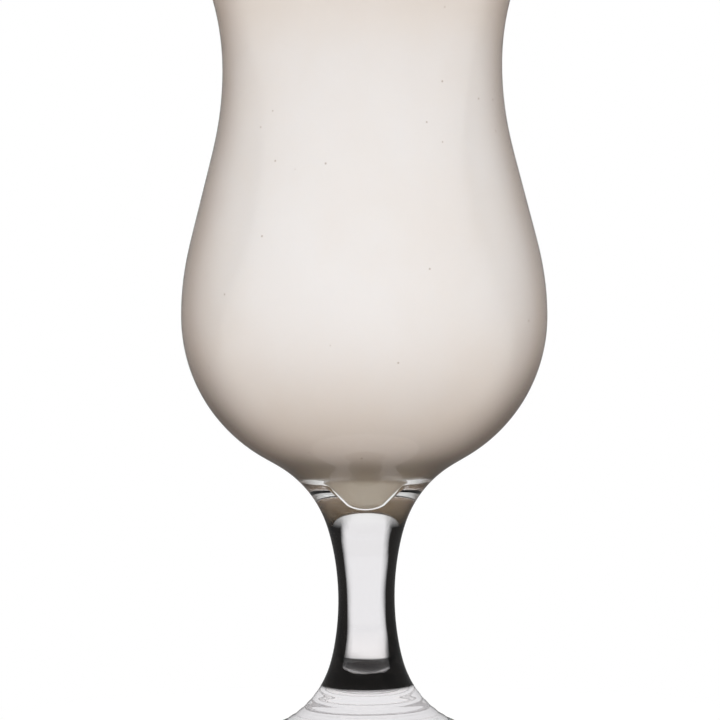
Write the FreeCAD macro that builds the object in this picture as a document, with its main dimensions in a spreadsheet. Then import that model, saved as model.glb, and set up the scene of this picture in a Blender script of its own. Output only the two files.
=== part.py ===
"""A stemmed hurricane glass filled with a cream cocktail: two turned solids that share one axis.

The axis is Z, the foot stands on z = 0, and every length is in millimetres. Each outline is a half
section in the XZ plane, drawn as a chain of straight runs and arcs and turned once round the axis.
"""
import FreeCAD, Part
import math
import os

import Sketcher
from FreeCAD import Vector

FULL_TURN = 360.0
SMALLEST_VOLUME = 1.0

# name, value, what it is
SIZES = [
    ("overall_height", 185.0, "foot to rim"),
    ("rim_radius", 37.5, "outside of the flared lip"),
    ("waist_radius", 32.2, "outside of the narrowest part of the bowl"),
    ("waist_height", 159.3, "height of the waist"),
    ("bulge_radius", 42.4, "outside of the widest part of the bowl"),
    ("bulge_height", 101.5, "height of the widest part"),
    ("bowl_arc", 37.4, "arc of the bowl below its widest part"),
    ("shoulder_ease", 1.45, "1 gives a straight shoulder, 2 gives two arcs with no straight run"),
    ("shoulder_split", 0.47, "share of the shoulder's bending that the bulge takes"),
    ("wall", 2.2, "glass between the drink and the air"),
    ("cavity_arc", 33.0, "arc of the cavity below its widest part"),
    ("cavity_slope", 12.0, "degrees that the cavity floor falls towards the axis"),
    ("well_radius", 6.8, "where the cavity floor turns down into the well"),
    ("well_slope", 62.0, "degrees that the well's side falls towards the axis"),
    ("well_edge", 2.65, "rounding where the floor turns down into the well"),
    ("well_tip", 3.6, "rounding of the well's bottom on the axis"),
    ("funnel_height", 52.2, "where the stem starts to open into the bowl"),
    ("stem_radius", 6.5, "thinnest part of the stem"),
    ("stem_height", 36.0, "height of the thinnest part"),
    ("stem_arc", 60.3, "hollow of the stem along its length"),
    ("flare_height", 21.7, "where the stem starts to open into the foot"),
    ("foot_radius", 36.5, "outside of the foot"),
    ("foot_slope", 16.0, "degrees that the foot's top falls outwards"),
    ("foot_edge", 1.1, "rounding of the foot's edge"),
    ("ring_radius", 31.0, "inside of the ring that the foot stands on"),
    ("foot_hollow", 2.0, "rise of the foot's underside at the axis"),
    ("fill_height", 176.4, "level of the drink"),
    ("fill_gap", 0.05, "clearance between the drink and the glass"),
]


def make_sheet(doc):
    """Puts each driving size in a cell whose alias is the size's name."""
    sheet = doc.addObject("Spreadsheet::Sheet", "sizes")
    for row, (name, value, note) in enumerate(SIZES, start=1):
        sheet.set(f"A{row}", name)
        sheet.set(f"B{row}", str(value))
        sheet.set(f"C{row}", note)
        sheet.setAlias(f"B{row}", name)
    doc.recompute()
    return sheet


def polar(centre, radius, angle):
    """The point of a circle at an angle in radians from the outward direction."""
    return Vector(centre.x + radius * math.cos(angle), centre.y + radius * math.sin(angle), 0)


class Section:
    """The curves of the half section, as centres, radii and angles worked out from the sheet."""

    def __init__(self, sheet):
        self.sheet = sheet
        self.place_bowl()
        self.place_cavity()
        self.place_stem()
        self.place_foot()

    def size(self, name):
        return float(self.sheet.get(name))

    def place_bowl(self):
        """Lip, neck and shoulder: arcs that keep their centres for the inside and outside of the wall."""
        waist, bulge = self.size("waist_radius"), self.size("bulge_radius")
        waist_z, bulge_z = self.size("waist_height"), self.size("bulge_height")
        half_wall = self.size("wall") / 2
        rise, swell = waist_z - bulge_z, bulge - waist
        self.shoulder_turn = self.size("shoulder_ease") * math.atan2(swell, rise)
        bend = (rise - swell / math.tan(self.shoulder_turn)) / math.tan(self.shoulder_turn / 2)
        self.shoulder_radius = self.size("shoulder_split") * bend
        self.neck_radius = bend - self.shoulder_radius
        self.shoulder_centre = Vector(bulge - self.shoulder_radius, bulge_z, 0)
        self.neck_centre = Vector(waist + self.neck_radius, waist_z, 0)
        self.rim_height = self.size("overall_height") - half_wall
        flare, lip_rise = self.size("rim_radius") - waist, self.rim_height - waist_z
        self.lip_middle = (flare**2 + lip_rise**2) / (2 * flare)
        self.lip_turn = math.asin(lip_rise / self.lip_middle)
        self.lip_centre = Vector(waist - half_wall + self.lip_middle, waist_z, 0)
        self.bowl_centre = Vector(bulge - self.size("bowl_arc"), bulge_z, 0)

    def place_cavity(self):
        """Lower cavity: an arc, a shallow cone, and a small well with a round bottom on the axis."""
        arc, mouth = self.size("cavity_arc"), self.size("well_radius")
        self.cavity_slope = math.radians(self.size("cavity_slope"))
        self.well_slope = math.radians(self.size("well_slope"))
        self.cavity_centre = Vector(self.size("bulge_radius") - self.size("wall") - arc, self.bowl_centre.y, 0)
        cone_top = polar(self.cavity_centre, arc, self.cavity_slope - math.pi / 2)
        mouth_z = cone_top.y - (cone_top.x - mouth) * math.tan(self.cavity_slope)
        half_turn = (self.well_slope - self.cavity_slope) / 2
        middle_slope = (self.well_slope + self.cavity_slope) / 2
        reach = self.size("well_edge") / math.cos(half_turn)
        self.well_edge_centre = polar(Vector(mouth, mouth_z, 0), reach, middle_slope - math.pi / 2)
        apex = mouth_z - mouth * math.tan(self.well_slope)
        self.well_tip_centre = Vector(0, apex + self.size("well_tip") / math.cos(self.well_slope), 0)

    def place_stem(self):
        """Stem arc, and the funnel arc that is tangent to it and to the bowl."""
        arc, stem_z = self.size("stem_arc"), self.size("stem_height")
        bowl_arc = self.size("bowl_arc")
        self.stem_centre = Vector(self.size("stem_radius") + arc, stem_z, 0)
        self.funnel_turn = math.asin((self.size("funnel_height") - stem_z) / arc)
        self.flare_turn = math.asin((stem_z - self.size("flare_height")) / arc)
        start = polar(self.stem_centre, arc, math.pi - self.funnel_turn)
        inward = Vector(math.cos(self.funnel_turn), -math.sin(self.funnel_turn), 0)
        reach = start - self.bowl_centre
        self.funnel_radius = (reach.dot(reach) - bowl_arc**2) / (2 * (bowl_arc - inward.dot(reach)))
        self.funnel_centre = start + inward * self.funnel_radius
        away = self.funnel_centre - self.bowl_centre
        self.bowl_turn = math.atan2(away.y, away.x)

    def place_foot(self):
        """Foot edge, and the flare arc that is tangent to the stem and to the foot's sloping top."""
        edge = self.size("foot_edge")
        self.foot_slope = math.radians(self.size("foot_slope"))
        self.edge_centre = Vector(self.size("foot_radius") - edge, edge, 0)
        up = Vector(math.sin(self.foot_slope), math.cos(self.foot_slope), 0)
        top = self.edge_centre + up * edge
        start = polar(self.stem_centre, self.size("stem_arc"), math.pi + self.flare_turn)
        inward = Vector(math.cos(self.flare_turn), math.sin(self.flare_turn), 0)
        self.flare_radius = up.dot(start - top) / (1 - up.dot(inward))
        self.flare_centre = start + inward * self.flare_radius
        hollow, ring = self.size("foot_hollow"), self.size("ring_radius")
        self.hollow_radius = (ring**2 + hollow**2) / (2 * hollow)
        self.hollow_centre = Vector(0, hollow - self.hollow_radius, 0)
        self.hollow_turn = math.asin(ring / self.hollow_radius)


class Outline:
    """Draws a closed chain of runs and arcs in a sketch and ties each piece to the one before."""

    START, END, CENTRE = 1, 2, 3
    ORIGIN = (-1, 1)
    LEVEL_AXIS, UPRIGHT_AXIS = -1, -2

    def __init__(self, sketch, start):
        self.sketch = sketch
        self.here = start
        self.pieces = {}
        self.chain = []

    def line(self, name, end, smooth=True):
        """A straight run to a point. Smooth says that it runs on from the piece before without a corner."""
        piece = self.sketch.addGeometry(Part.LineSegment(self.here, end), False)
        self.add(name, piece, self.START, self.END, smooth)
        self.here = end

    def arc(self, name, centre, radius, turn_from, turn_to, smooth=True):
        """An arc from one angle to another, either way round."""
        circle = Part.Circle(centre, Vector(0, 0, 1), radius)
        ends = sorted((turn_from, turn_to))
        piece = self.sketch.addGeometry(Part.ArcOfCircle(circle, *ends), False)
        if turn_from < turn_to:
            self.add(name, piece, self.START, self.END, smooth)
        else:
            self.add(name, piece, self.END, self.START, smooth)
        self.here = polar(centre, radius, turn_to)

    def add(self, name, piece, first, last, smooth):
        self.pieces[name] = {"piece": piece, "first": (piece, first), "last": (piece, last)}
        self.chain.append((self.pieces[name], smooth))

    def close(self):
        """Ties each piece to the next, with a tangent where the outline runs on smoothly."""
        before = self.chain[-1][0]
        for piece, smooth in self.chain:
            self.hold("Tangent" if smooth else "Coincident", *before["last"], *piece["first"])
            before = piece

    def hold(self, kind, *where):
        return self.sketch.addConstraint(Sketcher.Constraint(kind, *where))

    def bind(self, name, expression, kind, *where):
        """Adds a dimension that follows the sheet."""
        index = self.hold(kind, *where)
        self.sketch.renameConstraint(index, name)
        self.sketch.setExpression(f"Constraints.{name}", expression)

    def bind_radius(self, piece, expression):
        number = self.pieces[piece]["piece"]
        value = self.sketch.Geometry[number].Radius
        self.bind(f"{piece}_radius", expression, "Radius", number, value)

    def bind_place(self, piece, point, out=None, up=None):
        """Holds an end or the centre of a piece at a distance out from the axis or up from the ground."""
        number = self.pieces[piece]["piece"]
        end = self.CENTRE if point == "centre" else self.pieces[piece][point][1]
        at = self.sketch.getPoint(number, end)
        if out is not None:
            self.bind(f"{piece}_{point}_out", out, "DistanceX", *self.ORIGIN, number, end, at.x)
        if up is not None:
            self.bind(f"{piece}_{point}_up", up, "DistanceY", *self.ORIGIN, number, end, at.y)

    def share_centre(self, piece, other):
        centres = (self.pieces[piece]["piece"], self.CENTRE, self.pieces[other]["piece"], self.CENTRE)
        self.hold("Coincident", *centres)


def draw_cavity(outline, section, gap):
    """The inside of the wall from the lip down to the axis, held a gap in from the glass."""
    wall = section.size("wall") + gap
    neck_end = math.pi + section.shoulder_turn
    outline.arc("inner_neck", section.neck_centre, section.neck_radius + wall, math.pi, neck_end)
    inner_shoulder = section.shoulder_radius - wall
    shoulder_top = polar(section.shoulder_centre, inner_shoulder, section.shoulder_turn)
    outline.line("inner_slant", shoulder_top)
    outline.arc("inner_shoulder", section.shoulder_centre, inner_shoulder, section.shoulder_turn, 0)
    low = section.cavity_slope - math.pi / 2
    outline.arc("cavity", section.cavity_centre, section.size("cavity_arc") - gap, 0, low)
    draw_well(outline, section, gap)


def draw_well(outline, section, gap):
    """The cavity's floor and the small well in its middle."""
    edge, tip = section.size("well_edge") + gap, section.size("well_tip") - gap
    edge_start = math.pi / 2 + section.cavity_slope
    edge_end = math.pi / 2 + section.well_slope
    outline.line("cavity_floor", polar(section.well_edge_centre, edge, edge_start))
    outline.arc("well_edge", section.well_edge_centre, edge, edge_start, edge_end)
    low = section.well_slope - math.pi / 2
    outline.line("well_side", polar(section.well_tip_centre, tip, low))
    outline.arc("well_tip", section.well_tip_centre, tip, low, -math.pi / 2)


def bind_cavity(outline, smaller="", larger=""):
    """Ties the inside of the wall to the sheet."""
    outline.bind_radius("cavity", f"sizes.cavity_arc{smaller}")
    outline.bind_place("cavity", "centre", up="sizes.bulge_height")
    outline.bind_place("cavity", "centre", out="sizes.bulge_radius - sizes.wall - sizes.cavity_arc")
    outline.bind_radius("well_edge", f"sizes.well_edge{larger}")
    outline.bind_radius("well_tip", f"sizes.well_tip{smaller}")


def new_sketch(body, name):
    """A sketch on the body's own XZ plane."""
    sketch = body.newObject("Sketcher::SketchObject", name)
    plane = next(f for f in body.Origin.OriginFeatures if f.Role == "XZ_Plane")
    sketch.AttachmentSupport = [(plane, "")]
    sketch.MapMode = "FlatFace"
    return sketch


def turn(body, sketch, kind, name):
    """Turns a sketch once round its own upright axis, as solid or as a cut."""
    feature = body.newObject(kind, name)
    feature.Profile = sketch
    feature.ReferenceAxis = (sketch, ["V_Axis"])
    feature.Angle = FULL_TURN
    body.Tip = feature
    return feature


def make_glass(doc, section):
    """One piece of clear glass: foot, solid stem and bowl."""
    body = doc.addObject("PartDesign::Body", "glass")
    sketch = new_sketch(body, "glass_outline")
    outline = Outline(sketch, Vector(0, section.size("foot_hollow"), 0))
    draw_foot(outline, section)
    draw_bowl(outline, section)
    draw_lip(outline, section)
    draw_cavity(outline, section, 0)
    outline.line("axis", Vector(0, section.size("foot_hollow"), 0), smooth=False)
    outline.close()
    bind_foot(outline)
    bind_bowl(outline)
    bind_cavity(outline)
    turn(body, sketch, "PartDesign::Revolution", "glass_turned")
    return body


def draw_foot(outline, section):
    """Hollow underside, standing ring, rounded edge, sloping top and the flare into the stem."""
    straight_up = math.pi / 2
    hollow_end = straight_up - section.hollow_turn
    outline.arc("hollow", section.hollow_centre, section.hollow_radius, straight_up, hollow_end, smooth=False)
    outline.line("ring", Vector(section.edge_centre.x, 0, 0), smooth=False)
    edge = section.size("foot_edge")
    outline.arc("edge", section.edge_centre, edge, -straight_up, straight_up - section.foot_slope)
    top = 3 * straight_up - section.foot_slope
    outline.line("foot_top", polar(section.flare_centre, section.flare_radius, top))
    stem_low = math.pi + section.flare_turn
    outline.arc("flare", section.flare_centre, section.flare_radius, top, stem_low)
    stem_high = math.pi - section.funnel_turn
    outline.arc("stem", section.stem_centre, section.size("stem_arc"), stem_low, stem_high)


def draw_bowl(outline, section):
    """Outside of the bowl, from the funnel over the stem up to the waist."""
    funnel_end = math.pi + section.bowl_turn
    funnel_start = math.pi - section.funnel_turn
    outline.arc("funnel", section.funnel_centre, section.funnel_radius, funnel_start, funnel_end)
    outline.arc("bowl", section.bowl_centre, section.size("bowl_arc"), section.bowl_turn, 0)
    turned = section.shoulder_turn
    outline.arc("shoulder", section.shoulder_centre, section.shoulder_radius, 0, turned)
    neck_start = math.pi + turned
    outline.line("slant", polar(section.neck_centre, section.neck_radius, neck_start))
    outline.arc("neck", section.neck_centre, section.neck_radius, neck_start, math.pi)


def draw_lip(outline, section):
    """The lip's outside, its round rim and its inside down to the waist."""
    half_wall = section.size("wall") / 2
    lip_end = math.pi - section.lip_turn
    outline.arc("lip", section.lip_centre, section.lip_middle - half_wall, math.pi, lip_end)
    rim_centre = polar(section.lip_centre, section.lip_middle, lip_end)
    outline.arc("rim", rim_centre, half_wall, -section.lip_turn, lip_end)
    outline.arc("inner_lip", section.lip_centre, section.lip_middle + half_wall, lip_end, math.pi)


def bind_foot(outline):
    """Ties the foot and stem to the sheet."""
    outline.bind_place("hollow", "first", up="sizes.foot_hollow")
    outline.bind_place("hollow", "last", out="sizes.ring_radius")
    outline.bind_radius("edge", "sizes.foot_edge")
    outline.bind_place("edge", "centre", out="sizes.foot_radius - sizes.foot_edge")
    outline.bind_radius("stem", "sizes.stem_arc")
    outline.bind_place("stem", "centre", "sizes.stem_radius + sizes.stem_arc", "sizes.stem_height")
    outline.bind_place("stem", "first", up="sizes.flare_height")
    outline.bind_place("stem", "last", up="sizes.funnel_height")


def bind_bowl(outline):
    """Ties the bowl and lip to the sheet."""
    outline.bind_radius("bowl", "sizes.bowl_arc")
    outline.bind_place("bowl", "centre", "sizes.bulge_radius - sizes.bowl_arc", "sizes.bulge_height")
    outline.bind_place("neck", "last", "sizes.waist_radius", "sizes.waist_height")
    outline.bind_radius("rim", "sizes.wall / 2")
    outline.bind_place("rim", "centre", "sizes.rim_radius - sizes.wall / 2", "sizes.overall_height - sizes.wall / 2")
    outline.share_centre("inner_lip", "lip")
    outline.share_centre("inner_neck", "neck")
    outline.share_centre("inner_shoulder", "shoulder")


def make_drink(doc, section):
    """The drink: all that the cavity holds up to its level, a clearance in from the glass."""
    gap = section.size("fill_gap")
    body = doc.addObject("PartDesign::Body", "drink")
    sketch = new_sketch(body, "drink_outline")
    lip_radius = section.lip_middle + section.size("wall") / 2 + gap
    lip_end = math.pi - section.lip_turn
    brim = polar(section.lip_centre, lip_radius, lip_end)
    outline = Outline(sketch, Vector(0, brim.y, 0))
    outline.line("brim", brim, smooth=False)
    outline.arc("inner_lip", section.lip_centre, lip_radius, lip_end, math.pi, smooth=False)
    draw_cavity(outline, section, gap)
    outline.line("axis", Vector(0, brim.y, 0), smooth=False)
    outline.close()
    bind_cavity(outline, " - sizes.fill_gap", " + sizes.fill_gap")
    full = turn(body, sketch, "PartDesign::Revolution", "cavity_turned")
    doc.recompute()
    brimful = full.Shape.Volume
    cut_level(body, section, brim.y)
    doc.recompute()
    if body.Shape.Volume > brimful - SMALLEST_VOLUME:
        raise RuntimeError("the cut at the drink's level removed nothing")
    return body


def cut_level(body, section, brim):
    """Takes away what stands above the drink's level."""
    sketch = new_sketch(body, "level_outline")
    level, reach = section.size("fill_height"), section.size("rim_radius")
    outline = Outline(sketch, Vector(0, level, 0))
    outline.line("level", Vector(reach, level, 0), smooth=False)
    outline.line("side", Vector(reach, brim + reach, 0), smooth=False)
    outline.line("cover", Vector(0, brim + reach, 0), smooth=False)
    outline.line("axis", Vector(0, level, 0), smooth=False)
    outline.close()
    outline.hold("Horizontal", outline.pieces["level"]["piece"])
    outline.bind_place("level", "first", up="sizes.fill_height")
    turn(body, sketch, "PartDesign::Groove", "level_cut")


def check(doc, bodies):
    """Stops before anything is written if an object failed or a solid is missing or broken."""
    for item in doc.Objects:
        if "Invalid" in item.State or "Error" in item.State:
            raise RuntimeError(f"{item.Name} is {item.State}")
    for body in bodies:
        shape = body.Shape
        if shape.isNull() or not shape.isValid() or len(shape.Solids) != 1:
            raise RuntimeError(f"{body.Label} is not one valid solid")
        print(f"{body.Label}: {shape.Volume / 1000:.1f} ml, box {shape.optimalBoundingBox()}")


def main():
    doc = FreeCAD.newDocument("mudslide")
    section = Section(make_sheet(doc))
    bodies = [make_glass(doc, section), make_drink(doc, section)]
    doc.recompute()
    check(doc, bodies)
    os.makedirs("parts", exist_ok=True)
    for body in bodies:
        body.Shape.exportStep(f"parts/{body.Label}.step")


main()
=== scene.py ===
"""A mudslide cocktail: a stemmed hurricane glass, the cream drink in it, its froth and a white studio."""

import math
import random

import bmesh
import bpy
from mathutils import Matrix, Quaternion, Vector, noise


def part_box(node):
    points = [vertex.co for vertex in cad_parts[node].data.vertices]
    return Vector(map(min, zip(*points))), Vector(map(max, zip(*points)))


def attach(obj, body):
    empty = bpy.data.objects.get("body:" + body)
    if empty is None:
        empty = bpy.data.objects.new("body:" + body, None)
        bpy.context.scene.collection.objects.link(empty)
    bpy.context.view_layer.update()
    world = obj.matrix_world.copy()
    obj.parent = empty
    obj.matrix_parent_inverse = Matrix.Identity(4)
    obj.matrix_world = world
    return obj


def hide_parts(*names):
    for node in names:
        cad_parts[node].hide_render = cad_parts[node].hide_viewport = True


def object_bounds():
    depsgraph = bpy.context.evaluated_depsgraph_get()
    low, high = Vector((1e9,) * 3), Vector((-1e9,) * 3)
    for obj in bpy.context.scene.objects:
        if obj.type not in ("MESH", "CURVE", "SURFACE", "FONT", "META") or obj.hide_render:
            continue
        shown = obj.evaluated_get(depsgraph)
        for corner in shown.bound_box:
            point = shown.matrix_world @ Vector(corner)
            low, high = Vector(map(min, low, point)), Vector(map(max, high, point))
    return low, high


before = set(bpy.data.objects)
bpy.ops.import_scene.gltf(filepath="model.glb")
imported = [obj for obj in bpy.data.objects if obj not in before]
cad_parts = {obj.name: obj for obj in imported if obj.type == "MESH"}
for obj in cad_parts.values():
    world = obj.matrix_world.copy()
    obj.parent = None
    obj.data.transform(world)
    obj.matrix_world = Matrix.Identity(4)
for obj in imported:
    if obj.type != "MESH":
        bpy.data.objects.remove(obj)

bl_info = {
    "name": "Mudslide cocktail",
    "version": (1, 0, 0),
    "blender": (4, 5, 0),
    "location": "3D View > Sidebar > Cocktail",
    "description": "Makes a mudslide cocktail in a hurricane glass, with a white studio round it",
    "category": "Object",
}

MM = 0.001
SAME_PLACE = 1e-6
EASING = "easing"
GLASS_NODE = "glass"
DRINK_NODE = "drink"
CAD_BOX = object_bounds()
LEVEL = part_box(DRINK_NODE)[1].z
WHITE = (1.0, 1.0, 1.0, 1.0)

# The section of the glass and the drink.
SHARP_TURN = math.radians(12)
EASED_ABOVE = 0.9
FOOT_UNDERSIDE = 2.1 * MM
FOOT_TOP = 20 * MM
RING_SPACING = 0.33 * MM
RING_FADE_IN = 6.0
RING_FADE_OUT = 2.5
LEVEL_STEPS = 56

# The drink's two materials, and the swells of its open top: features per metre and height in mm.
AT_WALL, ON_TOP = 0, 1
FACING_UP = 0.3
NEAR_LEVEL = 0.5 * MM
SWELLS = ((95.0, 0.22), (260.0, 0.08))

# The froth: lengths, tries for each bubble, and shares of a bubble's radius or of the wall's.
WALL_GAP = 0.5 * MM
RING_SPREAD = 1.1 * MM
TRIES = 30
MOSTLY_SMALL = 3
LOOSE_REACH = 0.95
LOOSE_SIZE = 0.7
CLOSEST = 0.92
OVER_THE_RIM = 0.3
BUBBLE_RISE = 0.15
BUBBLE_HEIGHT = 0.8

# How strongly each stuff bends light. Under 1 a surface mirrors as if it were seen from inside the glass.
GLASS_IOR = 1.5
CREAM_IOR = 1.36
CREAM_AT_WALL_IOR = 0.9
THROUGH_GLASS = (0.96, 0.96, 0.96, 1.0)

# Patterns, in features per metre, and the share of the specks that is left out.
STREAKS = 420.0
CLOUDS = 38.0
GRAIN = 520.0
FROTH = 900.0
SPECKS = 270.0
SPECKS_LEFT_OUT = 0.68

# Ranges: where a change starts and ends, then what it gives before and after where that isn't 0 and 1.
# By height.
BOWL_TO_STEM = (60 * MM, 53 * MM)
FOOT_TO_STEM = (15.2 * MM, 16.0 * MM)
# STEM_DARKENS and FLARE_DARKENS widen the stem's painted dark bands low down and darken the whole flare; this
# painted shade stands in for the dark surroundings and the shadowed floor seen through the glass.
STEM_DARKENS = (52 * MM, 20 * MM, 0.0, 0.09)
FLARE_DARKENS = (20.4 * MM, 17.8 * MM, 0.0, 0.5)
# BOWL_DARKENS makes the bowl's painted shade at the drink's sides darker low down.
BOWL_DARKENS = (104 * MM, 78 * MM)
# The next two ranges give painted warm shade near the drink's top and low in the bowl.
HIGH_WARM_SHADE = (160 * MM, LEVEL, 0.0, 0.4)
LOW_WARM_SHADE = (108 * MM, 72 * MM, 0.0, 0.3)
# The next length is the height over which the painted shade at the drink's bottom fades in.
BOTTOM_SHADE_FADE = 6 * MM
# By slant, which is 0 where a surface is seen face on and 1 where it is seen edge on.
# STEM_SIDE and FOOT_SIDE set where the painted dark bands along the stem's and the foot's sides begin and
# end.
STEM_SIDE = (0.16, 0.33)
# BOWL_SIDE sets where the painted shade at the drink's sides, seen through the bowl's wall, begins and ends.
BOWL_SIDE = (0.34, 0.80)
FOOT_SIDE = (0.80, 0.94, 0.0, 0.9)
# By pattern.
# STREAK_SHARE breaks the stem's painted dark bands into streaks.
STREAK_SHARE = (0.3, 0.7, -0.025, 0.025)
CLOUD_SHARE = (0.38, 0.72, 0.0, 0.42)
GRAIN_SHARE = (0.35, 0.75, 0.0, 0.07)
SKIN_SHARE = (0.35, 0.7, 0.35, 0.75)
FROTH_ROUGHNESS = (0.3, 0.7, 0.30, 0.48)
SPECK_EDGE = (0.09, 0.045, 0.0, 0.6)
# By the upward part of a direction.
HORIZON_TO_ZENITH = (0.0, 0.9)

# The studio: the floor, each lamp's place, the height that it is aimed at and its size, and the camera's aim.
FLOOR_COLOUR = (0.60, 0.60, 0.60, 1.0)
FLOOR_GLOW = 0.22
FRONT_LAMP = ((0.0, -1.1, 0.2), 110 * MM, 0.36)
LOW_LAMP = ((0.0, -0.28, 0.012), 85 * MM, 0.2)
AIM_ASIDE = -1.06 * MM
AIM_BELOW_MIDDLE = 1.04 * MM
FARTHEST_SEEN = 20.0
GLASS_BOUNCES = 24
GLOSSY_BOUNCES = 12


# ---------------------------------------------------------------- settings


class CocktailGlassSettings(bpy.types.PropertyGroup):
    """Sizes and colours of the glass."""

    steps: bpy.props.IntProperty(
        name="Steps round", description="How many steps the section is turned in",
        default=168, min=24, max=256,
    )
    spacing: bpy.props.FloatProperty(
        name="Section spacing", description="Longest step along the section",
        default=1.1 * MM, unit="LENGTH",
    )
    ripple_height: bpy.props.FloatProperty(
        name="Ripple height", description="Height of the rings pressed into the foot",
        default=0.05 * MM, unit="LENGTH",
    )
    ripple_pitch: bpy.props.FloatProperty(
        name="Ripple pitch", description="Distance from ring to ring down the foot",
        default=2.7 * MM, unit="LENGTH",
    )
    ripple_inner: bpy.props.FloatProperty(
        name="Ripple inner radius", description="Where the rings begin", default=10.5 * MM, unit="LENGTH"
    )
    ripple_outer: bpy.props.FloatProperty(
        name="Ripple outer radius", description="Where the rings end", default=25.0 * MM, unit="LENGTH"
    )
    colour: bpy.props.FloatVectorProperty(
        name="Glass colour", description="Tint of the clear glass",
        subtype="COLOR", default=(0.975, 0.98, 0.98),
    )
    stem_colour: bpy.props.FloatVectorProperty(
        name="Stem colour", description="Tint of the thick stem",
        subtype="COLOR", default=(0.845, 0.832, 0.848),
    )
    # Painted shade: the dark bands along the stem's sides, which stand in for the dark surroundings seen
    # through it.
    stem_painted_dark: bpy.props.FloatVectorProperty(
        name="Stem painted dark colour", description="Tint of the thick stem seen along its sides", subtype="COLOR",
        default=(0.00015, 0.00012, 0.0001),
    )
    # Painted warm shade at the drink's sides, seen through the bowl's wall.
    bowl_painted_shade: bpy.props.FloatVectorProperty(
        name="Bowl painted shade colour", description="Tint of the bowl's wall seen along its sides",
        subtype="COLOR",
        default=(0.43, 0.37, 0.33),
    )
    # Painted shade at the drink's sides low in the bowl, darker than above.
    low_painted_shade: bpy.props.FloatVectorProperty(
        name="Low painted shade colour", description="Tint of the bowl's wall seen along its sides, low down",
        subtype="COLOR",
        default=(0.14, 0.115, 0.10),
    )


class CocktailDrinkSettings(bpy.types.PropertyGroup):
    """Sizes and colours of the drink."""

    into_wall: bpy.props.FloatProperty(
        name="Reach into wall", description="How far the drink reaches into the glass",
        default=0.12 * MM, unit="LENGTH",
    )
    meniscus_height: bpy.props.FloatProperty(
        name="Meniscus height", description="How far the drink climbs the wall",
        default=1.1 * MM, unit="LENGTH",
    )
    meniscus_reach: bpy.props.FloatProperty(
        name="Meniscus reach", description="How far in from the wall the climb starts",
        default=1.3 * MM, unit="LENGTH",
    )
    cream: bpy.props.FloatVectorProperty(
        name="Cream colour", description="Main colour of the drink",
        subtype="COLOR", default=(0.90, 0.898, 0.907),
    )
    warm: bpy.props.FloatVectorProperty(
        name="Warm colour", description="Colour of the darker clouds in the drink", subtype="COLOR",
        default=(0.86, 0.82, 0.785),
    )
    # Painted shade: the drink's darker colour at its bottom, where less light reaches.
    bottom_shade: bpy.props.FloatVectorProperty(
        name="Bottom shade colour", description="Colour of the drink at its bottom", subtype="COLOR",
        default=(0.59, 0.565, 0.50),
    )
    speck: bpy.props.FloatVectorProperty(
        name="Speck colour", description="Colour of the fine specks in the drink", subtype="COLOR",
        default=(0.42, 0.35, 0.30),
    )
    skin: bpy.props.FloatVectorProperty(
        name="Skin colour", description="Colour of the open surface",
        subtype="COLOR", default=(0.66, 0.60, 0.55),
    )
    # Painted warm shade at the drink's top and low down.
    warm_shade: bpy.props.FloatVectorProperty(
        name="Warm shade colour", description="Colour of the drink at its top and low down", subtype="COLOR",
        default=(0.90, 0.83, 0.76),
    )
    # Height below which the painted shade at the drink's bottom begins.
    bottom_shade_from: bpy.props.FloatProperty(
        name="Shaded below", description="Height where the drink starts to darken",
        default=73.5 * MM, unit="LENGTH",
    )


class CocktailFrothSettings(bpy.types.PropertyGroup):
    """The bubbles on the drink."""

    ring_bubbles: bpy.props.IntProperty(
        name="Bubbles at the wall", description="Bubbles in the ring along the wall", default=300, min=0
    )
    loose_bubbles: bpy.props.IntProperty(
        name="Loose bubbles", description="Bubbles further in", default=110, min=0
    )
    smallest: bpy.props.FloatProperty(
        name="Smallest bubble", description="Radius of the smallest bubble",
        default=0.16 * MM, unit="LENGTH",
    )
    largest: bpy.props.FloatProperty(
        name="Largest bubble", description="Radius of the largest bubble", default=0.75 * MM, unit="LENGTH"
    )
    seed: bpy.props.IntProperty(name="Seed", description="Picks another scatter of bubbles", default=7)


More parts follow.
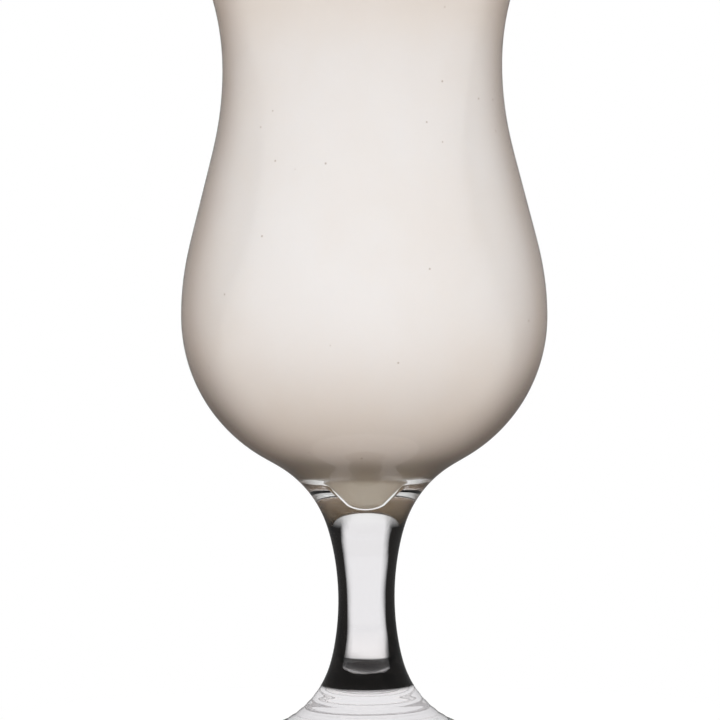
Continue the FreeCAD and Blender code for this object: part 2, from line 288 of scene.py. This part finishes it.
class CocktailStudioSettings(bpy.types.PropertyGroup):
    """The floor, the lamps and the camera."""

    floor_radius: bpy.props.FloatProperty(
        name="Floor radius", description="Radius of the white floor", default=3.0, unit="LENGTH"
    )
    surround: bpy.props.FloatProperty(
        name="Surround", description="Strength of the soft light from all round", default=1.64, min=0.0
    )
    sides: bpy.props.FloatProperty(
        name="Sides", description="Strength added to the soft light from left and right",
        default=1.8, min=0.0,
    )
    sky_colour: bpy.props.FloatVectorProperty(
        name="Sky colour", description="Colour of the soft light from before and behind", subtype="COLOR",
        default=(0.935, 0.965, 1.0),
    )
    side_colour: bpy.props.FloatVectorProperty(
        name="Side colour", description="Colour of the soft light from left and right", subtype="COLOR",
        default=(1.0, 0.91, 0.82),
    )
    overhead: bpy.props.FloatProperty(
        name="Overhead", description="Strength of the soft light from straight above", default=0.85, min=0.0
    )
    floor_bounce: bpy.props.FloatVectorProperty(
        name="Floor bounce", description="Colour of the light that the floor sends up", subtype="COLOR",
        default=(0.30, 0.205, 0.125),
    )
    mirror_surround: bpy.props.FloatProperty(
        name="Mirrored surround", description="Strength of the surround in reflections",
        default=0.15, min=0.0,
    )
    shadow_reach: bpy.props.FloatProperty(
        name="Shadow reach", description="How far out the floor shows shadows",
        default=120 * MM, unit="LENGTH",
    )
    key_power: bpy.props.FloatProperty(
        name="Key power", description="Power of the front lamp", default=1.2, unit="POWER"
    )
    low_power: bpy.props.FloatProperty(
        name="Low power", description="Power of the lamp that lights the bowl from below",
        default=0.36, unit="POWER",
    )
    camera_distance: bpy.props.FloatProperty(
        name="Camera distance", description="From the middle of the view to the camera",
        default=1.1, unit="LENGTH",
    )
    camera_height: bpy.props.FloatProperty(
        name="Camera elevation", description="Angle above level", default=math.radians(3.5), subtype="ANGLE"
    )
    camera_roll: bpy.props.FloatProperty(
        name="Camera roll", description="Turn about the line of sight",
        default=math.radians(-0.46), subtype="ANGLE",
    )
    view_width: bpy.props.FloatProperty(
        name="View width", description="Width that the view takes in", default=166.7 * MM, unit="LENGTH"
    )


# ---------------------------------------------------------------- shaping


def half_section(node):
    """Returns a bmesh with one side of a turned node's section, as a chain of edges from axis to axis."""
    shape = bmesh.new()
    shape.from_mesh(node.data)
    shape.verts.layers.float.new(EASING)
    bmesh.ops.remove_doubles(shape, verts=shape.verts, dist=SAME_PLACE)
    for normal, halved in (((1, 0, 0), True), ((0, 1, 0), False)):
        everything = shape.verts[:] + shape.edges[:] + shape.faces[:]
        cut = bmesh.ops.bisect_plane(
            shape, geom=everything, dist=SAME_PLACE, plane_co=(0, 0, 0), plane_no=normal, clear_inner=halved
        )["geom_cut"]
    section = {part for part in cut if isinstance(part, bmesh.types.BMEdge)}
    bmesh.ops.delete(shape, geom=shape.faces[:], context="FACES_ONLY")
    bmesh.ops.delete(shape, geom=[edge for edge in shape.edges if edge not in section], context="EDGES")
    bmesh.ops.delete(shape, geom=[vert for vert in shape.verts if not vert.link_edges], context="VERTS")
    if any(len(vert.link_edges) > 2 for vert in shape.verts):
        raise RuntimeError(f"the section of {node.name} isn't one line")
    for vert in shape.verts:
        vert.co.y = 0.0
    return shape


def refine(shape, edges, spacing, passes=10):
    """Divides edges longer than the spacing and eases the bends between them, apart from corners."""
    easing = shape.verts.layers.float[EASING]
    for vert in shape.verts:
        vert[easing] = 0.0
    by_cuts = {}
    for edge in edges:
        cuts = int(edge.calc_length() / spacing)
        if cuts:
            by_cuts.setdefault(cuts, []).append(edge)
            for vert in edge.verts:
                vert[easing] = 1.0
    for cuts, like_edges in by_cuts.items():
        bmesh.ops.subdivide_edges(shape, edges=like_edges, cuts=cuts)
    eased = [
        vert for vert in shape.verts
        if vert[easing] > EASED_ABOVE and len(vert.link_edges) == 2 and not is_corner(vert)
    ]
    for _ in range(passes):
        bmesh.ops.smooth_vert(
            shape, verts=eased, factor=0.5, use_axis_x=True, use_axis_y=False, use_axis_z=True
        )


def is_corner(vert):
    """True where the section turns sharply."""
    first, second = (edge.other_vert(vert).co - vert.co for edge in vert.link_edges)
    return first.angle(-second) > SHARP_TURN


def turn_round(shape, steps):
    """Turns a section through a full circle and closes it, with its faces outwards."""
    bmesh.ops.spin(
        shape, geom=shape.verts[:] + shape.edges[:], cent=(0, 0, 0), axis=(0, 0, 1), dvec=(0, 0, 0),
        angle=math.tau, space=Matrix.Identity(4), steps=steps, use_merge=True, use_normal_flip=False,
        use_duplicate=False,
    )
    bmesh.ops.remove_doubles(shape, verts=shape.verts, dist=SAME_PLACE)
    bmesh.ops.recalc_face_normals(shape, faces=shape.faces)


def finish_piece(shape, name, materials, replaced=()):
    """Makes a smooth object of a bmesh, gives it its materials and fixes it to the part."""
    mesh = bpy.data.meshes.new(name)
    shape.to_mesh(mesh)
    shape.free()
    mesh.shade_smooth()
    for material in materials:
        mesh.materials.append(material)
    piece = bpy.data.objects.new(name, mesh)
    bpy.context.collection.objects.link(piece)
    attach(piece, "root")
    if replaced:
        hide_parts(*replaced)


# ---------------------------------------------------------------- materials


def new_material(name):
    """Returns a material with its nodes and its links."""
    material = bpy.data.materials.new(name)
    material.use_nodes = True
    return material, material.node_tree.nodes, material.node_tree.links


def add_math(nodes, links, operation, first, second):
    """Adds a Math node and returns what it gives. Each side is a socket or a number."""
    node = nodes.new("ShaderNodeMath")
    node.operation = operation
    for place, value in enumerate((first, second)):
        if isinstance(value, (int, float)):
            node.inputs[place].default_value = value
        else:
            links.new(value, node.inputs[place])
    return node.outputs[0]


def add_range(nodes, links, value, low, high, to_low=0.0, to_high=1.0, smooth=True):
    """Adds a Map Range node and returns what it gives. Smooth eases both ends."""
    node = nodes.new("ShaderNodeMapRange")
    node.interpolation_type = "SMOOTHSTEP" if smooth else "LINEAR"
    node.inputs["From Min"].default_value = low
    node.inputs["From Max"].default_value = high
    node.inputs["To Min"].default_value = to_low
    node.inputs["To Max"].default_value = to_high
    links.new(value, node.inputs["Value"])
    return node.outputs["Result"]


def add_colour_mix(nodes, links, factor, first, second):
    """Adds a colour Mix node and returns what it gives. Each colour is a socket or three numbers."""
    node = nodes.new("ShaderNodeMix")
    node.data_type = "RGBA"
    links.new(factor, node.inputs["Factor"])
    for socket, colour in ((node.inputs["A"], first), (node.inputs["B"], second)):
        if isinstance(colour, bpy.types.NodeSocket):
            links.new(colour, socket)
        else:
            socket.default_value = (*colour, 1.0)
    return node.outputs["Result"]


def add_shader_mix(nodes, links, factor, first, second):
    """Adds a Mix Shader node and returns what it gives."""
    node = nodes.new("ShaderNodeMixShader")
    links.new(factor, node.inputs["Fac"])
    links.new(first, node.inputs[1])
    links.new(second, node.inputs[2])
    return node.outputs["Shader"]


def add_noise(nodes, links, scale, detail=2.0, roughness=0.5, stretch=(1, 1, 1)):
    """Adds noise on the piece's own coordinates, in features per metre, and returns its value."""
    place = nodes.new("ShaderNodeTexCoord")
    mapping = nodes.new("ShaderNodeMapping")
    mapping.inputs["Scale"].default_value = stretch
    pattern = nodes.new("ShaderNodeTexNoise")
    pattern.inputs["Scale"].default_value = scale
    pattern.inputs["Detail"].default_value = detail
    pattern.inputs["Roughness"].default_value = roughness
    links.new(place.outputs["Object"], mapping.inputs["Vector"])
    links.new(mapping.outputs["Vector"], pattern.inputs["Vector"])
    return pattern.outputs["Fac"]


def add_place(nodes, links, kind="Object"):
    """Returns x, y and z: the piece's own, or with Generated those of the direction in the world."""
    place = nodes.new("ShaderNodeTexCoord")
    split = nodes.new("ShaderNodeSeparateXYZ")
    links.new(place.outputs[kind], split.inputs["Vector"])
    return split.outputs["X"], split.outputs["Y"], split.outputs["Z"]


def add_bump(nodes, links, height, distance):
    """Adds a Bump node and returns its normal."""
    node = nodes.new("ShaderNodeBump")
    node.inputs["Distance"].default_value = distance
    links.new(height, node.inputs["Height"])
    return node.outputs["Normal"]


def clear_glass(settings):
    """Clear soda glass, with painted shade in its tint: dark bands along the stem and foot for the dark
    surroundings seen through them, and warm shade at the drink's sides.
    """
    material, nodes, links = new_material("clear_glass")
    body = nodes["Principled BSDF"]
    body.inputs["Roughness"].default_value = 0.0
    body.inputs["IOR"].default_value = GLASS_IOR
    body.inputs["Transmission Weight"].default_value = 1.0
    _, _, height = add_place(nodes, links)
    layer = nodes.new("ShaderNodeLayerWeight")
    layer.inputs["Blend"].default_value = 0.5
    slant = layer.outputs["Facing"]
    on_stem = add_range(nodes, links, height, *BOWL_TO_STEM)
    stem = stem_tint_and_painted_dark(nodes, links, settings, height, slant)
    bowl = bowl_tint_and_painted_shade(nodes, links, settings, height, slant)
    links.new(add_colour_mix(nodes, links, on_stem, bowl, stem), body.inputs["Base Color"])
    path = nodes.new("ShaderNodeLightPath")
    letting_light = nodes.new("ShaderNodeBsdfTransparent")
    letting_light.inputs["Color"].default_value = THROUGH_GLASS
    shown = add_shader_mix(
        nodes, links, path.outputs["Is Shadow Ray"], body.outputs["BSDF"], letting_light.outputs["BSDF"]
    )
    links.new(shown, nodes["Material Output"].inputs["Surface"])
    return material


def stem_tint_and_painted_dark(nodes, links, settings, height, slant):
    """The stem's tint, with painted dark bands along its sides that are darkest across the flare, and painted
    dark on the foot where it is seen edge on.
    """
    above_foot = add_range(nodes, links, height, *FOOT_TO_STEM)
    below = add_math(nodes, links, "SUBTRACT", 1.0, above_foot)
    # Painted dark bands: darker towards the stem's sides, wider down the stem, darkest across the flare and
    # broken into streaks.
    streaks = add_noise(nodes, links, STREAKS, stretch=(1, 1, 0.12))
    darker = slant
    for share in (
        add_range(nodes, links, height, *STEM_DARKENS, smooth=False),
        add_range(nodes, links, height, *FLARE_DARKENS, smooth=False),
        add_range(nodes, links, streaks, *STREAK_SHARE),
    ):
        darker = add_math(nodes, links, "ADD", darker, share)
    along_stem = add_math(nodes, links, "MULTIPLY", add_range(nodes, links, darker, *STEM_SIDE), above_foot)
    # Painted dark on the foot where it is seen edge on.
    along_foot = add_math(nodes, links, "MULTIPLY", add_range(nodes, links, slant, *FOOT_SIDE), below)
    painted_dark = add_math(nodes, links, "ADD", along_stem, along_foot)
    return add_colour_mix(nodes, links, painted_dark, settings.stem_colour, settings.stem_painted_dark)


def bowl_tint_and_painted_shade(nodes, links, settings, height, slant):
    """The tint of the bowl's wall, with painted warm shade at the drink's sides seen through it, darker low
    down.
    """
    # Painted shade: darker towards the drink's sides, and darker still low down.
    lower_bowl = add_range(nodes, links, height, *BOWL_DARKENS)
    edge = add_colour_mix(nodes, links, lower_bowl, settings.bowl_painted_shade, settings.low_painted_shade)
    return add_colour_mix(nodes, links, add_range(nodes, links, slant, *BOWL_SIDE), settings.colour, edge)


def cream_colour(nodes, links, settings):
    """The drink's colour: cream in soft clouds, painted warm shade high and low, painted shade darkening its
    bottom, and fine specks.
    """
    clouds = add_noise(nodes, links, CLOUDS, detail=3.0, stretch=(1, 1, 0.7))
    cloudy = add_range(nodes, links, clouds, *CLOUD_SHARE)
    grainy = add_range(nodes, links, add_noise(nodes, links, GRAIN), *GRAIN_SHARE)
    share = add_math(nodes, links, "ADD", cloudy, grainy)
    clouded = add_colour_mix(nodes, links, share, settings.cream, settings.warm)
    _, _, height = add_place(nodes, links)
    # Painted warm shade at the drink's top and low down.
    high = add_range(nodes, links, height, *HIGH_WARM_SHADE)
    lower = add_range(nodes, links, height, *LOW_WARM_SHADE)
    ends = add_math(nodes, links, "ADD", high, lower)
    warm_shaded = add_colour_mix(nodes, links, ends, clouded, settings.warm_shade)
    # Painted shade: the drink darkens towards its bottom, where less light reaches.
    low = add_range(nodes, links, height, settings.bottom_shade_from, settings.bottom_shade_from - BOTTOM_SHADE_FADE)
    even = add_colour_mix(nodes, links, low, warm_shaded, settings.bottom_shade)
    return add_colour_mix(nodes, links, add_specks(nodes, links), even, settings.speck)


def add_specks(nodes, links):
    """Adds small round specks, one at most to a cell, and returns where they are."""
    place = nodes.new("ShaderNodeTexCoord")
    cells = nodes.new("ShaderNodeTexVoronoi")
    cells.inputs["Scale"].default_value = SPECKS
    links.new(place.outputs["Object"], cells.inputs["Vector"])
    split = nodes.new("ShaderNodeSeparateColor")
    links.new(cells.outputs["Color"], split.inputs["Color"])
    picked = add_math(nodes, links, "GREATER_THAN", split.outputs["Red"], SPECKS_LEFT_OUT)
    near = add_range(nodes, links, cells.outputs["Distance"], *SPECK_EDGE)
    return add_math(nodes, links, "MULTIPLY", near, picked)


def cream_at_wall(settings):
    """The drink against the glass. Seen aslant through the glass, its surface mirrors what is round it."""
    material, nodes, links = new_material("cream_at_wall")
    body = nodes["Principled BSDF"]
    body.inputs["Roughness"].default_value = 0.45
    body.inputs["Specular IOR Level"].default_value = 0.0
    links.new(cream_colour(nodes, links, settings), body.inputs["Base Color"])
    mirror = nodes.new("ShaderNodeBsdfGlossy")
    mirror.inputs["Roughness"].default_value = 0.0
    mirror.inputs["Color"].default_value = WHITE
    slant = nodes.new("ShaderNodeFresnel")
    slant.inputs["IOR"].default_value = CREAM_AT_WALL_IOR
    shown = add_shader_mix(nodes, links, slant.outputs["Fac"], body.outputs["BSDF"], mirror.outputs["BSDF"])
    links.new(shown, nodes["Material Output"].inputs["Surface"])
    return material


def cream_surface(settings):
    """The top of the drink, with a fine froth in it."""
    material, nodes, links = new_material("cream_surface")
    body = nodes["Principled BSDF"]
    body.inputs["IOR"].default_value = CREAM_IOR
    froth = add_noise(nodes, links, FROTH, detail=3.0, roughness=0.6)
    frothy = add_range(nodes, links, froth, *SKIN_SHARE)
    colour = add_colour_mix(nodes, links, frothy, cream_colour(nodes, links, settings), settings.skin)
    links.new(colour, body.inputs["Base Color"])
    links.new(add_range(nodes, links, froth, *FROTH_ROUGHNESS), body.inputs["Roughness"])
    links.new(add_bump(nodes, links, froth, 0.08 * MM), body.inputs["Normal"])
    return material


# ---------------------------------------------------------------- pieces


class CocktailGlassMaker(bpy.types.Operator):
    """Turns the glass from its section, with the rings in its foot"""

    bl_idname = "cocktail.glass"
    bl_label = "Make the glass"

    def execute(self, context):
        settings = context.scene.cocktail_glass
        section = half_section(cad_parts[GLASS_NODE])
        refine(section, section.edges[:], settings.spacing)
        press_rings(section, settings)
        turn_round(section, settings.steps)
        finish_piece(section, "glass_body", [clear_glass(settings)], [GLASS_NODE])
        return {"FINISHED"}


def press_rings(section, settings):
    """Lifts shallow rings along the top of the foot, fading out at both ends."""
    inner, outer = settings.ripple_inner, settings.ripple_outer
    on_foot = [
        edge for edge in section.edges if all(is_on_foot(vert, inner - MM, outer + MM) for vert in edge.verts)
    ]
    refine(section, on_foot, RING_SPACING, passes=6)
    lifted = [vert for vert in section.verts if is_on_foot(vert, inner, outer)]
    lifted.sort(key=lambda vert: vert.co.x)
    travelled, last, moves = 0.0, lifted[0].co.copy(), []
    for vert in lifted:
        travelled += (vert.co - last).length
        last = vert.co.copy()
        beside = (edge.other_vert(vert).co for edge in vert.link_edges)
        before, after = sorted(beside, key=lambda place: place.x)
        along = (after - before).normalized()
        outwards = Vector((-along.z, 0.0, along.x))
        share = (vert.co.x - inner) / (outer - inner)
        fade = min(1.0, share * RING_FADE_IN, (1.0 - share) * RING_FADE_OUT)
        lift = settings.ripple_height * fade * math.cos(math.tau * travelled / settings.ripple_pitch)
        moves.append((vert, outwards * lift))
    for vert, move in moves:
        vert.co += move


def is_on_foot(vert, inner, outer):
    """True for a vertex of the section that lies on top of the foot, between two radii."""
    return inner < vert.co.x < outer and FOOT_UNDERSIDE < vert.co.z < FOOT_TOP


class CocktailDrinkMaker(bpy.types.Operator):
    """Turns the drink from its section, so that it reaches just into the wall and climbs it a little"""

    bl_idname = "cocktail.drink"
    bl_label = "Make the drink"

    def execute(self, context):
        settings = context.scene.cocktail_drink
        section = half_section(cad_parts[DRINK_NODE])
        shape_level(section, settings)
        at_wall = [edge for edge in section.edges if not on_top(edge)]
        refine(section, at_wall, context.scene.cocktail_glass.spacing)
        turn_round(section, context.scene.cocktail_glass.steps)
        for face in section.faces:
            top = face.normal.z > FACING_UP and face.calc_center_median().z > LEVEL - NEAR_LEVEL
            face.material_index = ON_TOP if top else AT_WALL
        unsettle(section)
        for vert in section.verts:
            if any(face.material_index == AT_WALL for face in vert.link_faces):
                vert.co += vert.normal * settings.into_wall
        materials = [cream_at_wall(settings), cream_surface(settings)]
        finish_piece(section, "cream_drink", materials, [DRINK_NODE])
        return {"FINISHED"}


def on_top(edge):
    """True for an edge of the section that lies in the drink's surface."""
    return all(vert.co.z > LEVEL - SAME_PLACE for vert in edge.verts)


def shape_level(section, settings):
    """Redraws the level line as an even line that climbs where it meets the wall."""
    top = [vert for vert in section.verts if vert.co.z > LEVEL - SAME_PLACE]
    middle = min(top, key=lambda vert: vert.co.x)
    wall_end = max(top, key=lambda vert: vert.co.x)
    below = min((edge.other_vert(wall_end) for edge in wall_end.link_edges), key=lambda vert: vert.co.z)
    up_wall = (wall_end.co - below.co).normalized()
    reach = wall_end.co.x
    bmesh.ops.delete(section, geom=[vert for vert in top if vert not in (middle, wall_end)], context="VERTS")
    line = section.edges.get((middle, wall_end)) or section.edges.new((middle, wall_end))
    bmesh.ops.subdivide_edges(section, edges=[line], cuts=LEVEL_STEPS)
    for vert in section.verts:
        if vert.co.z > LEVEL - SAME_PLACE:
            climb = settings.meniscus_height * math.exp(-(reach - vert.co.x) / settings.meniscus_reach)
            vert.co += up_wall * (climb / up_wall.z)


def unsettle(shape):
    """Gives the drink's surface the low uneven swell of thick cream."""
    for vert in shape.verts:
        if vert.link_faces and all(face.material_index == ON_TOP for face in vert.link_faces):
            vert.co.z += sum(noise.noise(vert.co * scale) * height for scale, height in SWELLS) * MM


class CocktailFrothMaker(bpy.types.Operator):
    """Scatters small bubbles on the drink, most of them along the wall"""

    bl_idname = "cocktail.froth"
    bl_label = "Make the froth"

    def execute(self, context):
        settings = context.scene.cocktail_froth
        drink = bpy.data.objects["cream_drink"]
        chance = random.Random(settings.seed)
        wall = max(vert.co.xy.length for vert in drink.data.vertices if vert.co.z > LEVEL)
        single = bmesh.new()
        bmesh.ops.create_icosphere(single, subdivisions=2, radius=1.0)
        ball = bpy.data.meshes.new("bubble")
        single.to_mesh(ball)
        single.free()
        bubbles = bmesh.new()
        for place, radius in bubble_places(chance, settings, wall - WALL_GAP):
            add_bubble(bubbles, ball, drink, place, radius)
        bpy.data.meshes.remove(ball)
        finish_piece(bubbles, "froth_bubbles", [froth_film(context.scene.cocktail_drink)])
        return {"FINISHED"}


def bubble_places(chance, settings, wall):
    """Yields where each bubble sits and how big it is. Neighbours overlap by a little at most."""
    taken = []
    total = settings.ring_bubbles + settings.loose_bubbles
    for number in range(total):
        for _ in range(TRIES):
            share = chance.random() ** MOSTLY_SMALL
            radius = settings.smallest + (settings.largest - settings.smallest) * share
            angle = chance.uniform(0.0, math.tau)
            if number < settings.ring_bubbles:
                out = wall - radius - abs(chance.gauss(0.0, RING_SPREAD))
            else:
                out = wall * math.sqrt(chance.random()) * LOOSE_REACH
                radius *= LOOSE_SIZE
            place = Vector((math.cos(angle) * out, math.sin(angle) * out, 0.0))
            if all((place - other).length > (radius + size) * CLOSEST for other, size in taken):
                taken.append((place, radius))
                yield place, radius
                break


def add_bubble(bubbles, ball, drink, place, radius):
    """Sets one bubble a little over half out of the drink."""
    hit, spot, _, _ = drink.ray_cast(Vector((place.x, place.y, OVER_THE_RIM)), Vector((0.0, 0.0, -1.0)))
    if not hit:
        raise RuntimeError("a bubble found no drink below it")
    already = len(bubbles.verts)
    bubbles.from_mesh(ball)
    bubbles.verts.ensure_lookup_table()
    middle = spot + Vector((0.0, 0.0, radius * BUBBLE_RISE))
    for vert in bubbles.verts[already:]:
        vert.co = middle + Vector((vert.co.x, vert.co.y, vert.co.z * BUBBLE_HEIGHT)) * radius


def froth_film(settings):
    """The thin creamy film of a bubble."""
    material, nodes, links = new_material("froth_film")
    body = nodes["Principled BSDF"]
    body.inputs["Roughness"].default_value = 0.12
    body.inputs["IOR"].default_value = CREAM_IOR
    links.new(cream_colour(nodes, links, settings), body.inputs["Base Color"])
    return material


# ---------------------------------------------------------------- studio


def by_ray(nodes, links, soft, mirrored, seen):
    """Mixes three shaders: soft for what lights the object, mirrored for reflections, seen for the rest."""
    path = nodes.new("ShaderNodeLightPath")
    in_view = add_math(
        nodes, links, "MAXIMUM", path.outputs["Is Camera Ray"], path.outputs["Is Transmission Ray"]
    )
    diffused = add_math(nodes, links, "GREATER_THAN", path.outputs["Diffuse Depth"], 0.5)
    return add_shader_mix(nodes, links, diffused, add_shader_mix(nodes, links, in_view, mirrored, seen), soft)


def floor_material(settings):
    """A floor that is seen pure white, apart from the object's soft shadow close by."""
    material, nodes, links = new_material("studio_floor")
    lit = nodes["Principled BSDF"]
    lit.inputs["Base Color"].default_value = FLOOR_COLOUR
    lit.inputs["Roughness"].default_value = 0.7
    lit.inputs["Specular IOR Level"].default_value = 0.0
    bounce = nodes.new("ShaderNodeBsdfDiffuse")
    bounce.inputs["Color"].default_value = (*settings.floor_bounce, 1.0)
    across, along, _ = add_place(nodes, links)
    across, along = (add_math(nodes, links, "POWER", side, 2) for side in (across, along))
    out = add_math(nodes, links, "SQRT", add_math(nodes, links, "ADD", across, along), 0.0)
    far = add_range(nodes, links, out, settings.shadow_reach / 2, settings.shadow_reach)
    lifted = nodes.new("ShaderNodeAddShader")
    links.new(lit.outputs["BSDF"], lifted.inputs[0])
    links.new(add_glow(nodes, FLOOR_GLOW), lifted.inputs[1])
    bright = add_shader_mix(nodes, links, far, lifted.outputs["Shader"], add_glow(nodes, 1.0))
    shown = by_ray(nodes, links, bounce.outputs["BSDF"], add_glow(nodes, settings.mirror_surround), bright)
    links.new(shown, nodes["Material Output"].inputs["Surface"])
    return material


def add_glow(nodes, strength):
    """Adds a white Emission node and returns what it gives."""
    glow = nodes.new("ShaderNodeEmission")
    glow.inputs["Color"].default_value = WHITE
    glow.inputs["Strength"].default_value = strength
    return glow.outputs["Emission"]


def make_world(settings):
    """A world that is seen white and lights softly, less from above and more from left and right."""
    world = bpy.data.worlds.new("studio_world")
    bpy.context.scene.world = world
    world.cycles.sampling_method = "NONE"
    world.use_nodes = True
    nodes, links = world.node_tree.nodes, world.node_tree.links
    soft, mirrored, seen = (add_sky(nodes, strength) for strength in (1.0, settings.mirror_surround, 1.0))
    sideways, _, upward = add_place(nodes, links, "Generated")
    level = add_range(
        nodes, links, upward, *HORIZON_TO_ZENITH, settings.surround, settings.overhead, smooth=False
    )
    square = add_math(nodes, links, "MULTIPLY", sideways, sideways)
    from_sides = add_math(nodes, links, "MULTIPLY", square, settings.sides)
    links.new(add_math(nodes, links, "ADD", level, from_sides), soft.inputs["Strength"])
    colour = add_colour_mix(nodes, links, square, settings.sky_colour, settings.side_colour)
    links.new(colour, soft.inputs["Color"])
    shown = by_ray(nodes, links, *(sky.outputs["Background"] for sky in (soft, mirrored, seen)))
    links.new(shown, nodes["World Output"].inputs["Surface"])


def add_sky(nodes, strength):
    """Adds a white Background node and returns it."""
    sky = nodes.new("ShaderNodeBackground")
    sky.inputs["Color"].default_value = WHITE
    sky.inputs["Strength"].default_value = strength
    return sky


def add_lamp(name, power, place, aim_height, size):
    """Adds a soft square lamp that is itself not seen, aimed at a height on the object's axis."""
    lamp = bpy.data.lights.new(name, "AREA")
    lamp.size = size
    lamp.energy = power
    holder = bpy.data.objects.new(name, lamp)
    bpy.context.collection.objects.link(holder)
    holder.location = place
    to_aim = Vector((0.0, 0.0, aim_height)) - Vector(place)
    holder.rotation_euler = to_aim.to_track_quat("-Z", "Y").to_euler()
    holder.visible_camera = False
    holder.visible_glossy = False
    holder.visible_transmission = False


def set_camera(settings):
    """Places the camera before the object, a little above level."""
    camera = bpy.data.cameras.new("studio_camera")
    holder = bpy.data.objects.new("studio_camera", camera)
    bpy.context.collection.objects.link(holder)
    low, high = CAD_BOX
    aim = Vector((AIM_ASIDE, 0.0, (low.z + high.z) / 2 - AIM_BELOW_MIDDLE))
    back = Vector((0.0, -math.cos(settings.camera_height), math.sin(settings.camera_height)))
    holder.location = aim + back * settings.camera_distance
    holder.rotation_mode = "QUATERNION"
    roll = Quaternion((0.0, 0.0, 1.0), settings.camera_roll)
    holder.rotation_quaternion = (-back).to_track_quat("-Z", "Y") @ roll
    camera.lens = camera.sensor_width * settings.camera_distance / settings.view_width
    camera.clip_end = FARTHEST_SEEN
    bpy.context.scene.camera = holder


class CocktailStudioMaker(bpy.types.Operator):
    """Lays the floor, lights the world, and places the lamps and the camera"""

    bl_idname = "cocktail.studio"
    bl_label = "Make the studio"

    def execute(self, context):
        settings = context.scene.cocktail_studio
        floor = bmesh.new()
        bmesh.ops.create_circle(floor, cap_ends=True, segments=96, radius=settings.floor_radius)
        mesh = bpy.data.meshes.new("studio_floor")
        floor.to_mesh(mesh)
        floor.free()
        mesh.materials.append(floor_material(settings))
        piece = bpy.data.objects.new("studio_floor", mesh)
        context.collection.objects.link(piece)
        make_world(settings)
        add_lamp("front_lamp", settings.key_power, *FRONT_LAMP)
        add_lamp("low_lamp", settings.low_power, *LOW_LAMP)
        set_camera(settings)
        scene = context.scene
        scene.view_settings.view_transform = "Standard"
        scene.cycles.max_bounces = GLASS_BOUNCES
        scene.cycles.transmission_bounces = GLASS_BOUNCES
        scene.cycles.transparent_max_bounces = GLASS_BOUNCES
        scene.cycles.glossy_bounces = GLOSSY_BOUNCES
        return {"FINISHED"}


# ---------------------------------------------------------------- panel


class CocktailPanel(bpy.types.Panel):
    """Lists the pieces and their sizes"""

    bl_idname = "VIEW3D_PT_cocktail"
    bl_label = "Mudslide cocktail"
    bl_space_type = "VIEW_3D"
    bl_region_type = "UI"
    bl_category = "Cocktail"

    def draw(self, context):
        for group_name, operator in PARTS:
            box = self.layout.box()
            box.operator(operator)
            group = getattr(context.scene, group_name)
            for name in group.bl_rna.properties.keys():
                if name not in ("rna_type", "name"):
                    box.prop(group, name)


PARTS = (
    ("cocktail_glass", "cocktail.glass"),
    ("cocktail_drink", "cocktail.drink"),
    ("cocktail_froth", "cocktail.froth"),
    ("cocktail_studio", "cocktail.studio"),
)
GROUPS = {
    "cocktail_glass": CocktailGlassSettings,
    "cocktail_drink": CocktailDrinkSettings,
    "cocktail_froth": CocktailFrothSettings,
    "cocktail_studio": CocktailStudioSettings,
}
CLASSES = (
    *GROUPS.values(),
    CocktailGlassMaker,
    CocktailDrinkMaker,
    CocktailFrothMaker,
    CocktailStudioMaker,
    CocktailPanel,
)


def register():
    for made in CLASSES:
        bpy.utils.register_class(made)
    for name, group in GROUPS.items():
        setattr(bpy.types.Scene, name, bpy.props.PointerProperty(type=group))


def unregister():
    for name in GROUPS:
        delattr(bpy.types.Scene, name)
    for made in reversed(CLASSES):
        bpy.utils.unregister_class(made)


def main():
    """Makes every piece."""
    register()
    bpy.ops.cocktail.glass()
    bpy.ops.cocktail.drink()
    bpy.ops.cocktail.froth()
    bpy.ops.cocktail.studio()
    bpy.context.view_layer.update()


if __name__ == "__main__":
    main()
